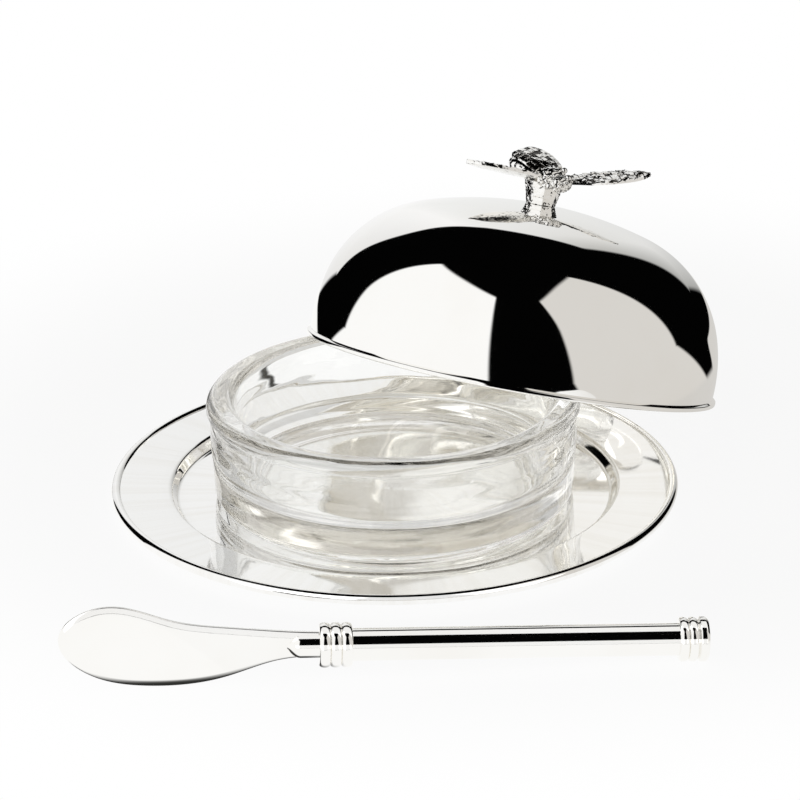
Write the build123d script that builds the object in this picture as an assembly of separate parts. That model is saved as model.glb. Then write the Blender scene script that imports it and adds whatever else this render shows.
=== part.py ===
from build123d import *
from math import asin, cos, degrees, hypot, pi, radians, sin, sqrt, tan
import os

# Butter dish set: a round silver-plated plate, a thick glass bowl that stands in the plate's well,
# a dome lid with a cast bee for a knob, and a butter knife with a ringed round handle.
# Millimetres, +Z up. The origin is the centre of the plate's flat foot, on the table.
# The lid is off the bowl: its lip lies on the bowl's rim at the front left and on the table behind.
# The camera side of the set is -Y, and the lid leans away from it.

# Clearances
REST_GAP = 0.25          # between pieces of different bodies that rest on each other
FIT = 0.05               # between a spigot, tang or screw and its hole
SCREW_PLAY = 0.3         # radial play of the screw in the hole of the dome

# Plate
PLATE_R = 67.5
SHEET = 1.2              # thickness of the spun sheet
WELL_PLAY = 0.5          # between the lid's lip and the wall of the well, with the lid on
WELL_DEPTH = 2.5         # from the rim's inner edge down to the floor of the well
WELL_WALL_RUN = 1.5      # width of the sloped wall of the well
RIM_RISE = 0.5           # from the rim's inner edge to its outer edge
BEAD_R = 1.2             # section radius of the rolled edge
WELL_CORNER_R = 1.0

# Glass bowl
BOWL_H = 25.3
BODY_R_HIGH = 43.5
BODY_TAPER = 0.8         # how much narrower the body is just above its foot
FOOT_INSET = 1.7         # from the body to the flat part that stands in the well
FOOT_RISE = 1.8          # height of the rounded edge under the body
BOWL_LIP_PROUD = 0.8     # how far the lip stands out past the body
BOWL_LIP_H = 3.4         # height of the lip from its groove to the top
BOWL_LIP_SLOPE = 0.6     # height over which the lip grows out of the groove
BOWL_LIP_W = 6.6         # width of the lip
BOWL_FLOOR = 6.0         # thickness of the heavy base
BOWL_DRAFT = 1.6         # how much narrower the hollow is at the floor
BOWL_CORNER_R = 5.0      # inside corner between wall and floor
BOWL_LIP_OUT_ROUND = 2.6
BOWL_LIP_IN_ROUND = 2.2
BOWL_BODY_ROUND = 30.0   # where the body's taper ends
BOWL_FOOT_ROUND = 2.0
BOWL_GROOVE_ROUND = 0.4
BOWL_CREST_IN = 0.75     # from the lip's outside to where the lid lies on its rounding

# Lid dome
LIP_R = 51.2
NECK_R = 50.3            # outside radius of the wall just above the lip
LIP_H = 1.5
LIP_EDGE_ROUND = 0.3
LIP_CREST_IN = 0.6       # from the lip's outside to where it lies on the bowl
DOME_H = 41.0            # outside height from the lip's underside to the crown
DOME_WALL = 1.0
CROWN_R = 98.0           # arc over the top
CROWN_ANGLE = 16.5       # degrees from the axis at which the crown meets the shoulder
SHOULDER_R = 31.0
NECK_LEAN = 4.5          # degrees that the wall turns in again at the neck

# Lean of the lid
LEAN_AZIMUTH = 53.3      # degrees from +X, the way that the dome's top leans
LEAN_REACH = 48.5        # from the plate's axis to the centre of the lip

# Bee knob, in the lid's own frame: +Z along its axis, -Y towards the camera
POST_FOOT_R = 3.6
POST_TOP_R = 5.0
POST_H = 5.6
POST_SIDES = 8
POST_SINK = 0.5          # how far the blank reaches under the crown before it is cut to it
BEE_LENGTH = 19.0
BEE_ABDOMEN_R = 5.1
BEE_THORAX_R = 4.0
BEE_HEAD_R = 2.8
BEE_EYE_R = 0.9
BAND_COUNT = 5           # grooves around the abdomen
BAND_PROUD = 0.3         # how far each band bulges past the abdomen's ellipse
BEE_HEADING = -48.0      # degrees from +X in plan, the way that the head points
BEE_PITCH = 15.0         # degrees, tail up
BEE_ROLL = 20.0          # degrees, back tipped to the bee's right
BEE_FLAT = 0.7           # the body's height as a share of its width
BEE_SHIFT = 3.2          # from the thorax's centre back to the body's middle
BEE_ASIDE = 2.4          # from the thorax's centre to the right of the body
BEE_WAIST = 0.3          # from the body's middle to where the abdomen ends
NECK_SIZE = 1.9          # radius between thorax and head
THORAX_H = 7.9           # of the thorax's centre above the crown
THORAX_OUT = (3.0, -2.2) # of the thorax's centre from the lid's axis
WING_LENGTH = 24.0
WING_CHORD = 8.6
WING_T = 1.7
WING_RISE = 8.0          # degrees, tips up
WING_TWIST = 10.0        # degrees about the wing's length
WING_ROOT_W = 3.2
WING_ROOT_DROP = 1.7     # of the root under the thorax's centre
WING_EDGE_ROUND = 0.4
BEE_BANK = 5.0           # degrees, right side up
WING_SWEEP = 14.0        # degrees in plan from +X

# Screw and washer under the crown
SCREW_R = 1.5
SCREW_REACH = 3.4        # into the post
SCREW_HEAD_R = 2.8
SCREW_HEAD_H = 1.8
SCREW_SLOT = 0.7         # width and depth of the driver's slot
WASHER_R = 4.0
WASHER_T = 0.8

# Butter knife, along its own +X from the tip, with its blade upright
KNIFE_L = 140.0
KNIFE_TIP = (-72.1, -101.6)
KNIFE_YAW = 4.3
BLADE_T = 1.7
BLADE_TOP = 9.6          # highest point of the blade over the handle's axis
BLADE_DROP = 8.9         # lowest point of the blade under the handle's axis
BLADE_DROP_X = 18.5
BLADE_TIP_Z = 2.0        # where the outline is furthest forward
BLADE_BACK = ((36, 4.6), (24, 6.4), (8.6, BLADE_TOP))
BLADE_EDGE = ((5.2, -5.3), (BLADE_DROP_X, -BLADE_DROP), (36, -7.0), (47, -3.3))
BLADE_ROOT = (3.2, -2.5) # top and bottom of the blade where it meets the collar
NECK_BAR_R = 2.7         # round bar between blade and collar
NECK_BAR_L = 4.0
TANG_H = 4.0
TANG_T = 1.6
TANG_L = 38.0
COLLAR_X = 55.8
RING_W = 2.36            # width of one ring of the collar and of the end cap
RING_R = 4.85
GROOVE_R = 4.1
TUBE_R = 3.55
TUBE_WALL = 0.5
SPIGOT_L = 3.0
COLLAR_RINGS = 3
CAP_L = 6.4
CAP_RINGS = 2            # besides the wider end ring
CAP_RING_W = 2.03
CAP_FACE_R = 4.4         # flat end of the cap

# Sizes that follow
BODY_R_LOW = BODY_R_HIGH - BODY_TAPER
FOOT_R = BODY_R_LOW - FOOT_INSET
BOWL_LIP_R = BODY_R_HIGH + BOWL_LIP_PROUD
MOUTH_R = BOWL_LIP_R - BOWL_LIP_W
BEAD_C = PLATE_R - BEAD_R
WELL_R = LIP_R + WELL_PLAY
RIM_Z = SHEET + WELL_DEPTH
BOWL_TOP_Z = SHEET + BOWL_H
COLLAR_L = COLLAR_RINGS * RING_W
TUBE_X = COLLAR_X + COLLAR_L
CAP_X = KNIFE_L - CAP_L


def turned(outline, corners):
    """Solid of revolution about Z from the corner points of a closed half section."""
    with BuildPart() as part:
        with BuildSketch(Plane.XZ):
            with BuildLine():
                FilletPolyline(*outline, radius=corners, close=True)
            make_face()
        revolve(axis=Axis.Z)
    return part.part


def make_plate():
    """Spun sheet with a shallow well, a wide rim and a rolled edge."""
    wall_x = WELL_R + WELL_WALL_RUN
    edge_z = RIM_Z + RIM_RISE
    outline = [
        (0, 0), (WELL_R + 0.4 * SHEET, 0), (wall_x + 0.5 * SHEET, WELL_DEPTH), (BEAD_C, edge_z - SHEET),
        (BEAD_C, edge_z), (wall_x, RIM_Z), (WELL_R, SHEET), (0, SHEET),
    ]
    outer = WELL_CORNER_R + SHEET / 3
    corners = [0, outer, WELL_CORNER_R, 0, 0, outer, WELL_CORNER_R, 0]
    sheet = turned(outline, corners)
    bead = Pos(0, 0, edge_z - SHEET / 2) * Torus(BEAD_C, BEAD_R)
    return sheet + bead


def make_glass_bowl():
    """Thick pressed glass bowl with a rounded lip over a shallow groove."""
    lip_z = BOWL_H - BOWL_LIP_H
    hollow_r = MOUTH_R - BOWL_DRAFT
    outline = [
        (0, 0), (FOOT_R, 0), (BODY_R_LOW, FOOT_RISE), (BODY_R_HIGH, lip_z * 0.7), (BODY_R_HIGH, lip_z),
        (BOWL_LIP_R, lip_z + BOWL_LIP_SLOPE), (BOWL_LIP_R, BOWL_H), (MOUTH_R, BOWL_H), (hollow_r, BOWL_FLOOR),
        (0, BOWL_FLOOR),
    ]
    corners = [
        0, BOWL_FOOT_ROUND / 2, BOWL_FOOT_ROUND, BOWL_BODY_ROUND, BOWL_GROOVE_ROUND, BOWL_GROOVE_ROUND,
        BOWL_LIP_OUT_ROUND, BOWL_LIP_IN_ROUND, BOWL_CORNER_R, 0,
    ]
    return Pos(0, 0, SHEET) * turned(outline, corners)


def dome_arcs(inset):
    """Centres and radii of the crown, shoulder and wall arcs, moved inwards by the inset."""
    a1 = radians(CROWN_ANGLE)
    crown_c = DOME_H - CROWN_R
    join = (CROWN_R * sin(a1), crown_c + CROWN_R * cos(a1))
    shoulder = (join[0] - SHOULDER_R * sin(a1), join[1] - SHOULDER_R * cos(a1))
    # The wall is one arc from the shoulder down to the neck. Its centre lies on the line through the
    # shoulder's centre, and its radius is found from the neck's place.
    low, high = radians(60), radians(89)
    for _ in range(60):
        a2 = (low + high) / 2
        foot = (shoulder[0] + SHOULDER_R * sin(a2), shoulder[1] + SHOULDER_R * cos(a2))
        dx, dy = NECK_R - foot[0], LIP_H - foot[1]
        wall_r = -(dx * dx + dy * dy) / (2 * (dx * sin(a2) + dy * cos(a2)))
        top_angle = a2 + 2 * asin(min(1.0, hypot(dx, dy) / (2 * wall_r)))
        if top_angle > radians(NECK_LEAN + 90):
            low = a2
        else:
            high = a2
    wall = (foot[0] - wall_r * sin(a2), foot[1] - wall_r * cos(a2))
    return crown_c, shoulder, wall, a1, a2, top_angle, CROWN_R - inset, SHOULDER_R - inset, wall_r - inset


def dome_line(inset):
    """Points at the ends and the middle of each arc of the dome's section, from the crown down."""
    crown_c, shoulder, wall, a1, a2, a3, r1, r2, r3 = dome_arcs(inset)

    def spot(centre, radius, angle):
        return (centre[0] + radius * sin(angle), centre[1] + radius * cos(angle))

    crown = [spot((0, crown_c), r1, a) for a in (0, a1 / 2, a1)]
    side = [spot(shoulder, r2, a) for a in ((a1 + a2) / 2, a2)]
    low = [spot(wall, r3, a) for a in ((a2 + a3) / 2, a3)]
    return crown + side + low


def make_lid_dome():
    """Spun dome with a small turned-out lip and a hole for the knob's screw."""
    out = dome_line(0)
    inn = dome_line(DOME_WALL)
    with BuildPart() as part:
        with BuildSketch(Plane.XZ):
            with BuildLine():
                ThreePointArc(*out[0:3])
                ThreePointArc(*out[2:5])
                ThreePointArc(*out[4:7])
                Polyline(out[6], (LIP_R, LIP_H * 0.62), (LIP_R, LIP_EDGE_ROUND),
                         (LIP_R - LIP_EDGE_ROUND, 0),
                         (NECK_R - DOME_WALL, 0), inn[6])
                ThreePointArc(*inn[4:7])
                ThreePointArc(*inn[2:5])
                ThreePointArc(*inn[0:3])
                Line(inn[0], out[0])
            make_face()
        revolve(axis=Axis.Z)
    hole = Cylinder(SCREW_R + SCREW_PLAY, 4 * DOME_WALL)
    return part.part - Pos(0, 0, DOME_H - DOME_WALL / 2) * hole


def make_bee_body():
    """Head, thorax and banded abdomen in one casting, turned about the bee's long axis."""
    half = BEE_LENGTH / 2
    neck = half - 2 * BEE_HEAD_R + 2 * BEE_WAIST
    middle = (BEE_WAIST - half) / 2
    # The abdomen's bands meet at points on a half ellipse, and each band bulges a little past it
    turns = [pi - pi * k / (BAND_COUNT + 1) * 0.82 for k in range(BAND_COUNT + 2)]
    reach = half + middle
    snout = half - BEE_HEAD_R

    def spot(angle, proud):
        return (middle + reach * cos(angle), round(BEE_ABDOMEN_R * sin(angle), 6) + proud)

    with BuildPart() as part:
        with BuildSketch(Plane.XZ):
            with BuildLine():
                for a, b in zip(turns, turns[1:]):
                    ThreePointArc(spot(a, 0), spot((a + b) / 2, BAND_PROUD), spot(b, 0))
                last = spot(turns[-1], 0)
                ThreePointArc(last, ((last[0] + neck) / 2, BEE_THORAX_R), (neck, NECK_SIZE))
                Polyline((neck, NECK_SIZE), (snout - BEE_HEAD_R * 0.43, BEE_HEAD_R), (snout, BEE_HEAD_R))
                RadiusArc((snout, BEE_HEAD_R), (half, 0), BEE_HEAD_R)
                Line((half, 0), (-half, 0))
            make_face()
        revolve(axis=Axis.X)
    body = scale(part.part, by=(1, 1, BEE_FLAT))
    eye_out = BEE_HEAD_R * 0.62
    for side in (-1, 1):
        body += Pos(half - BEE_HEAD_R * 0.9, side * eye_out, eye_out * BEE_FLAT) * Sphere(BEE_EYE_R)
    return body


def bee_place():
    """Location of the bee's own frame (+X to the head) in the lid's frame."""
    thorax = Pos(*THORAX_OUT, DOME_H + THORAX_H)
    turned = Rot(0, 0, BEE_HEADING) * Rot(0, BEE_PITCH, 0) * Rot(BEE_ROLL, 0, 0)
    return thorax * turned * Pos(-BEE_SHIFT, -BEE_ASIDE, 0)


def make_wing(side):
    """One flat cast wing, broad towards its rounded end. Side is +1 to the right, -1 to the left."""
    n = WING_LENGTH
    half = WING_CHORD / 2
    root = WING_ROOT_W / 2
    with BuildPart() as part:
        with BuildSketch():
            with BuildLine():
                Spline((0, root), (n * 0.35, half * 0.8), (n * 0.72, half), (n, 0),
                       tangents=((1, 0.1), (0, -1)))
                Spline((n, 0), (n * 0.72, -half), (n * 0.35, -half * 0.8), (0, -root),
                       tangents=((0, -1), (-1, 0.1)))
                Line((0, -root), (0, root))
            make_face()
        extrude(amount=WING_T / 2, both=True)
        fillet(part.faces().sort_by(Axis.Z)[-1].edges().sort_by(Axis.X)[1:], WING_EDGE_ROUND)
    heading = WING_SWEEP if side > 0 else 180 + WING_SWEEP
    rise = WING_RISE + BEE_BANK * side
    root = Pos(*THORAX_OUT, DOME_H + THORAX_H - WING_ROOT_DROP)
    return root * Rot(0, 0, heading) * Rot(0, -rise, 0) * Rot(WING_TWIST, 0, 0) * part.part


def wing_outside(side, bee):
    """The part of a wing that stands out of the bee's body."""
    return (make_wing(side) - bee).solids().sort_by(SortBy.VOLUME)[-1]


def make_finial_post(bee):
    """Hammered eight-sided post, wider at the top, drilled for the screw."""
    start = DOME_H - POST_SINK
    with BuildPart() as part:
        with BuildSketch(Plane.XY.offset(start)):
            RegularPolygon(POST_FOOT_R, POST_SIDES)
        with BuildSketch(Plane.XY.offset(DOME_H + POST_H)):
            RegularPolygon(POST_TOP_R, POST_SIDES)
        loft()
    hole_h = SCREW_REACH + 3 * POST_SINK
    hole = Pos(0, 0, DOME_H + SCREW_REACH / 2) * Cylinder(SCREW_R + FIT, hole_h)
    crown = Pos(0, 0, DOME_H - CROWN_R) * Sphere(CROWN_R)
    return part.part - crown - hole - bee


def crown_inside(radius):
    """Height of the inside of the crown at a distance from the axis."""
    inner = CROWN_R - DOME_WALL
    return DOME_H - CROWN_R + sqrt(inner * inner - radius * radius)


def make_finial_washer():
    """Flat washer between the screw's head and the inside of the crown."""
    top = crown_inside(WASHER_R)
    ring = Cylinder(WASHER_R, WASHER_T) - Cylinder(SCREW_R + SCREW_PLAY, 2 * WASHER_T)
    return Pos(0, 0, top - WASHER_T / 2) * ring


def make_finial_screw():
    """Pan-head screw that holds the knob, from inside the dome."""
    seat = crown_inside(WASHER_R) - WASHER_T
    reach = DOME_H + SCREW_REACH - seat
    head = Pos(0, 0, seat - SCREW_HEAD_H / 2) * Cylinder(SCREW_HEAD_R, SCREW_HEAD_H)
    head = fillet(head.faces().sort_by(Axis.Z)[0].edges(), SCREW_HEAD_H * 0.4)
    slot = Pos(0, 0, seat - SCREW_HEAD_H) * Box(3 * SCREW_HEAD_R, SCREW_SLOT, 2 * SCREW_SLOT)
    shank = Pos(0, 0, seat + reach / 2) * Cylinder(SCREW_R, reach)
    return head - slot + shank


def make_knife_blade():
    """Broad spreading blade, its round neck bar and the flat tang inside the handle."""
    tip = (0, BLADE_TIP_Z)
    with BuildPart() as part:
        with BuildSketch(Plane.XZ):
            with BuildLine():
                Spline((COLLAR_X, BLADE_ROOT[0]), *BLADE_BACK, tip, tangents=((-1, 0.02), (0, -1)))
                Spline(tip, *BLADE_EDGE, (COLLAR_X, BLADE_ROOT[1]), tangents=((0, -1), (1, 0)))
                Line((COLLAR_X, BLADE_ROOT[1]), (COLLAR_X, BLADE_ROOT[0]))
            make_face()
        extrude(amount=BLADE_T / 2, both=True)
    neck_x = COLLAR_X - NECK_BAR_L
    taper_x = neck_x - NECK_BAR_L
    with BuildPart() as neck:
        with BuildSketch(Plane.XZ):
            with BuildLine():
                ThreePointArc((taper_x, 0), (taper_x + NECK_BAR_L * 0.57, NECK_BAR_R * 0.62),
                              (neck_x, NECK_BAR_R))
                Polyline((neck_x, NECK_BAR_R), (COLLAR_X, NECK_BAR_R), (COLLAR_X, 0), (taper_x, 0))
            make_face()
        revolve(axis=Axis.X)
    tang = Pos(COLLAR_X + TANG_L / 2, 0, 0) * Box(TANG_L, TANG_T, TANG_H)
    return part.part + neck.part + tang


def ring_arcs(rings, width):
    """Half-round rings in a row, from x = 0, inside a line builder."""
    for k in range(rings):
        x = k * width
        ThreePointArc((x, GROOVE_R), (x + width / 2, RING_R), (x + width, GROOVE_R))


def make_knife_collar():
    """Three rings between blade and handle, with a spigot in the tube and a bore for the tang."""
    bore = hypot(TANG_T, TANG_H) / 2 + FIT
    with BuildPart() as part:
        with BuildSketch(Plane.XZ):
            with BuildLine():
                ring_arcs(COLLAR_RINGS, RING_W)
                Polyline((COLLAR_L, GROOVE_R), (COLLAR_L, bore), (0, bore), (0, GROOVE_R))
            make_face()
        revolve(axis=Axis.X)
    spigot_r = TUBE_R - TUBE_WALL - FIT
    spigot = Cylinder(spigot_r, SPIGOT_L) - Cylinder(bore, 2 * SPIGOT_L)
    return Pos(COLLAR_X, 0, 0) * (part.part + Pos(COLLAR_L + SPIGOT_L / 2, 0, 0) * Rot(0, 90, 0) * spigot)


def make_knife_handle():
    """Plain round tube."""
    length = CAP_X - TUBE_X
    tube = Cylinder(TUBE_R, length) - Cylinder(TUBE_R - TUBE_WALL, 2 * length)
    return Pos(TUBE_X + length / 2, 0, 0) * Rot(0, 90, 0) * tube


def make_handle_filler():
    """Cement that fills the tube and holds the tang."""
    start = TUBE_X + SPIGOT_L + FIT
    length = CAP_X - SPIGOT_L - FIT - start
    core = Cylinder(TUBE_R - TUBE_WALL - FIT, length)
    tang = Pos(COLLAR_X + TANG_L / 2, 0, 0) * Box(TANG_L, TANG_T, TANG_H)
    return Pos(start + length / 2, 0, 0) * Rot(0, 90, 0) * core - tang


def make_knife_end_cap():
    """Two rings and a wider end ring that close the handle, with a spigot in the tube."""
    end_x = CAP_RINGS * CAP_RING_W
    end_w = CAP_L - end_x
    with BuildPart() as part:
        with BuildSketch(Plane.XZ):
            with BuildLine():
                ring_arcs(CAP_RINGS, CAP_RING_W)
                ThreePointArc((end_x, GROOVE_R), (end_x + end_w * 0.45, RING_R), (CAP_L, CAP_FACE_R))
                Polyline((CAP_L, CAP_FACE_R), (CAP_L, 0), (0, 0), (0, GROOVE_R))
            make_face()
        revolve(axis=Axis.X)
    spigot = Rot(0, 90, 0) * Cylinder(TUBE_R - TUBE_WALL - FIT, SPIGOT_L)
    return Pos(CAP_X, 0, 0) * (part.part + Pos(-SPIGOT_L / 2, 0, 0) * spigot)


def lid_lean():
    """Tilt of the lid, in degrees, at which its lip rests on the table and on the bowl's rim."""
    crest_r = BOWL_LIP_R - BOWL_CREST_IN
    lip_r = LIP_R - LIP_CREST_IN
    low, high = radians(5), radians(40)
    for _ in range(60):
        tilt = (low + high) / 2
        centre_z = LIP_R * sin(tilt) + REST_GAP
        # The lip's circle crosses over the crest of the bowl's rim at this distance along the lean
        a = 1 / cos(tilt) ** 2 - 1
        b = -2 * LEAN_REACH / cos(tilt) ** 2
        c = (LEAN_REACH / cos(tilt)) ** 2 + crest_r ** 2 - lip_r ** 2
        cross = (-b - sqrt(b * b - 4 * a * c)) / (2 * a)
        height = centre_z + (LEAN_REACH - cross) * tan(tilt)
        if height < BOWL_TOP_Z + REST_GAP:
            low = tilt
        else:
            high = tilt
    return degrees(high)


def lid_place():
    """Location of the lid's own frame, with its origin at the centre of the lip's underside."""
    lean = lid_lean()
    out = radians(LEAN_AZIMUTH)
    centre_z = LIP_R * sin(radians(lean)) + REST_GAP
    turn = Rot(0, 0, LEAN_AZIMUTH) * Rot(0, lean, 0) * Rot(0, 0, -LEAN_AZIMUTH)
    return Pos(LEAN_REACH * cos(out), LEAN_REACH * sin(out), centre_z) * turn


def knife_place():
    """Location of the knife's own frame: it stands on its blade's edge and on the end cap."""
    cap_x = CAP_X + CAP_L / 2
    fall = asin((BLADE_DROP - RING_R) / (cap_x - BLADE_DROP_X))
    tip_z = REST_GAP + RING_R + cap_x * sin(fall)
    return Pos(*KNIFE_TIP, tip_z) * Rot(0, 0, KNIFE_YAW) * Rot(0, degrees(fall), 0)


def main():
    """Builds every piece in its place and writes one file for each."""
    os.makedirs("parts", exist_ok=True)
    dome = make_lid_dome()
    bee = bee_place() * make_bee_body()
    wings = {"bee_wing_right": wing_outside(1, bee), "bee_wing_left": wing_outside(-1, bee)}
    post = make_finial_post(bee)
    for wing in wings.values():
        post -= wing
    lid = {
        "lid_dome": dome, "finial_post": post, "bee_body": bee, **wings,
        "finial_washer": make_finial_washer(), "finial_screw": make_finial_screw(),
    }
    knife = {
        "knife_blade": make_knife_blade(), "knife_collar": make_knife_collar(),
        "knife_handle": make_knife_handle(), "handle_filler": make_handle_filler(),
        "knife_end_cap": make_knife_end_cap(),
    }
    nodes = {"plate": make_plate(), "glass_bowl": make_glass_bowl()}
    nodes.update({name: lid_place() * piece for name, piece in lid.items()})
    nodes.update({name: knife_place() * piece for name, piece in knife.items()})
    for name, piece in nodes.items():
        export_step(piece, f"parts/{name}.step")
    print("lid leans by", round(lid_lean(), 2), "degrees")


main()
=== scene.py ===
"""Looks of the butter dish set: plate, glass bowl, dome lid with its bee knob, and butter knife.

Shapes are worked out in millimetres in each piece's own frame and placed in metres in the row frame.
The camera side of the set is -Y, and +Z is up.
"""
import logging
import math
from collections.abc import Callable, Sequence
from dataclasses import dataclass
from enum import Enum

import bpy
import numpy as np
from mathutils import Matrix, Vector, noise

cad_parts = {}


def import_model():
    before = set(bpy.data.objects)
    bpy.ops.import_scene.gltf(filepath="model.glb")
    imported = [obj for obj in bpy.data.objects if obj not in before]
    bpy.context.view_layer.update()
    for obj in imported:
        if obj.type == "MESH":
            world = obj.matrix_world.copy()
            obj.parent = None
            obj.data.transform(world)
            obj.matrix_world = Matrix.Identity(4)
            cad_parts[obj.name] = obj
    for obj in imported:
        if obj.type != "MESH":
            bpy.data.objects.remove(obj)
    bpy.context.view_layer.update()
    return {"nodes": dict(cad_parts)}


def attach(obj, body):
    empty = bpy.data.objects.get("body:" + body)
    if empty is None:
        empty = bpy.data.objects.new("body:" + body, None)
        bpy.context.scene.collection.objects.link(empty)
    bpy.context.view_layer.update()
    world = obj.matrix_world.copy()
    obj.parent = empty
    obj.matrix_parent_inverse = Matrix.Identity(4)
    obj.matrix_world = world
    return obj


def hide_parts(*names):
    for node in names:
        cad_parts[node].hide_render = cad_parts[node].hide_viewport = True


log = logging.getLogger("butter_dish")

MM = 0.001
Point2 = tuple[float, float]
Colour = tuple[float, float, float]


def operator(operation: str, swapped: bool = False) -> "Callable[[Value, Value | float], Value]":
    """Writes one of Python's operators as a Math node.

    Args:
        operation: The node's operation.
        swapped: True for the operator's right-hand form.

    Returns:
        The operator's method.
    """
    def apply(self: "Value", other: "Value | float") -> "Value":
        """Adds the node."""
        first, second = (other, self) if swapped else (self, other)
        return self.tree.add("ShaderNodeMath", {"operation": operation}, {0: first, 1: second})

    return apply


class Value:
    """One socket of a node tree, which takes Python's arithmetic."""

    __add__ = operator("ADD")
    __radd__ = operator("ADD", swapped=True)
    __sub__ = operator("SUBTRACT")
    __rsub__ = operator("SUBTRACT", swapped=True)
    __mul__ = operator("MULTIPLY")
    __rmul__ = operator("MULTIPLY", swapped=True)
    __truediv__ = operator("DIVIDE")
    __pow__ = operator("POWER")

    def __init__(self, tree: "Tree", socket: bpy.types.NodeSocket) -> None:
        """Keeps the tree that the socket is in."""
        self.tree = tree
        self.socket = socket

    def step(self, low: float, high: float) -> "Value":
        """A smooth step from 0 to 1.

        Args:
            low: Where the step starts.
            high: Where the step ends.

        Returns:
            The step's value.
        """
        settings = {"interpolation_type": "SMOOTHSTEP", "clamp": True}
        return self.tree.add("ShaderNodeMapRange", settings, {0: self, 1: low, 2: high, 3: 0.0, 4: 1.0})

    def between(self, low: float, high: float, soft: float) -> "Value":
        """1 inside a range and 0 outside it, with soft ends.

        Args:
            low: The range's lower end.
            high: The range's upper end.
            soft: Half the width of each soft end.

        Returns:
            The mask.
        """
        return self.step(low - soft, low + soft) * (1.0 - self.step(high - soft, high + soft))


class Tree:
    """A material's or the world's node tree, written in a few calls."""

    def __init__(self, nodes: bpy.types.NodeTree) -> None:
        """Empties the tree."""
        self.nodes = nodes
        nodes.nodes.clear()

    def add(self, kind: str, settings: dict[str, object] | None = None,
            inputs: dict[int | str, object] | None = None, out: int | str = 0) -> Value:
        """Adds a node, its settings first and then its inputs.

        Args:
            kind: The node's type.
            settings: The node's properties; "stops" gives the stops of a ramp.
            inputs: Values or links, by socket name or number.
            out: The output that is wanted.

        Returns:
            That output.
        """
        node = self.nodes.nodes.new(kind)
        for name, value in (settings or {}).items():
            if name == "stops":
                self._ramp(node, value)
            else:
                setattr(node, name, value)
        for name, value in (inputs or {}).items():
            self.set(node, name, value)
        return Value(self, node.outputs[out])

    def set(self, node: bpy.types.Node, name: int | str, value: object) -> None:
        """Sets or links one input of a node."""
        if isinstance(value, Value):
            self.nodes.links.new(value.socket, node.inputs[name])
        elif value is not None:
            node.inputs[name].default_value = value

    @staticmethod
    def _ramp(node: bpy.types.Node, stops: Sequence[tuple[float, Colour]]) -> None:
        """Gives a colour ramp its stops."""
        elements = node.color_ramp.elements
        while len(elements) > 1:
            elements.remove(elements[-1])
        elements[0].position = stops[0][0]
        elements[0].color = (*stops[0][1], 1.0)
        for position, colour in stops[1:]:
            elements.new(position).color = (*colour, 1.0)

    def ramp(self, value: Value, stops: Sequence[tuple[float, Colour]]) -> Value:
        """A colour ramp over a value."""
        return self.add("ShaderNodeValToRGB", {"stops": stops}, {0: value})

    def blend(self, factor: "Value | float", first: object, second: object) -> Value:
        """Mix of two colours.

        Args:
            factor: 0 for the first colour and 1 for the second.
            first: Colour or link.
            second: Colour or link.

        Returns:
            The mixed colour.
        """
        made = [(*c, 1.0) if isinstance(c, tuple) and len(c) == 3 else c for c in (first, second)]
        return self.add("ShaderNodeMix", {"data_type": "RGBA"}, {0: factor, 6: made[0], 7: made[1]}, 2)

    def object_place(self) -> Value:
        """Object coordinates."""
        return self.add("ShaderNodeTexCoord", out="Object")

    def parts(self, vector: Value) -> tuple[Value, Value, Value]:
        """The three parts of a vector."""
        node = self.nodes.nodes.new("ShaderNodeSeparateXYZ")
        self.set(node, 0, vector)
        return tuple(Value(self, socket) for socket in node.outputs)

    def bearing(self, x: Value, y: Value) -> Value:
        """Angle in degrees from the direction of y towards that of x."""
        return self.add("ShaderNodeMath", {"operation": "ARCTAN2"}, {0: x, 1: y}) * (180 / math.pi)

    def noise(self, place: Value, scale: float, detail: float = 2.0, rough: float = 0.5) -> Value:
        """Noise from 0 to 1 at a place.

        Args:
            place: The coordinates.
            scale: Waves in each metre.
            detail: Octaves.
            rough: How strong the finer octaves are.

        Returns:
            The noise's value.
        """
        inputs = {"Vector": place, "Scale": scale, "Detail": detail, "Roughness": rough}
        return self.add("ShaderNodeTexNoise", None, inputs)

    def bump(self, height: Value, strength: float, reach: float) -> Value:
        """A normal from a height.

        Args:
            height: The height, about 0 to 1.
            strength: How much of it counts.
            reach: The height of 1, in metres.

        Returns:
            The normal.
        """
        inputs = {"Strength": strength, "Distance": reach, "Height": height}
        return self.add("ShaderNodeBump", None, inputs)

    def shade(self, inputs: dict[int | str, object]) -> Value:
        """Adds the main shader and joins it to the output."""
        shader = self.add("ShaderNodeBsdfPrincipled", None, inputs)
        self.add_output("ShaderNodeOutputMaterial", shader)
        return shader

    def add_output(self, kind: str, shader: Value) -> None:
        """Joins a shader to the tree's output."""
        node = self.nodes.nodes.new(kind)
        self.set(node, "Surface", shader)


def new_material(name: str) -> tuple[bpy.types.Material, Tree]:
    """An empty material and its tree."""
    material = bpy.data.materials.new(name)
    material.use_nodes = True
    return material, Tree(material.node_tree)


@dataclass(frozen=True)
class PolishedSilver:
    """Silver plate with a mirror polish: faint wiping marks in its gloss and a trace of tarnish."""

    name: str
    tint: Colour = (0.965, 0.958, 0.940)
    gloss: float = 0.025
    haze: float = 0.03

    def make(self) -> bpy.types.Material:
        """Builds the material."""
        material, t = new_material(self.name)
        place = t.object_place()
        cloud = t.noise(place, 38.0, 3.0)
        wipe = t.noise(place, 900.0, 2.0)
        dull = tuple(c * f for c, f in zip(self.tint, (0.975, 0.968, 0.955)))
        tint = t.blend(cloud.step(0.35, 0.75), self.tint, dull)
        rough = self.gloss + cloud * self.haze * wipe
        t.shade({"Base Color": tint, "Metallic": 1.0, "Roughness": rough})
        return material


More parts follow.
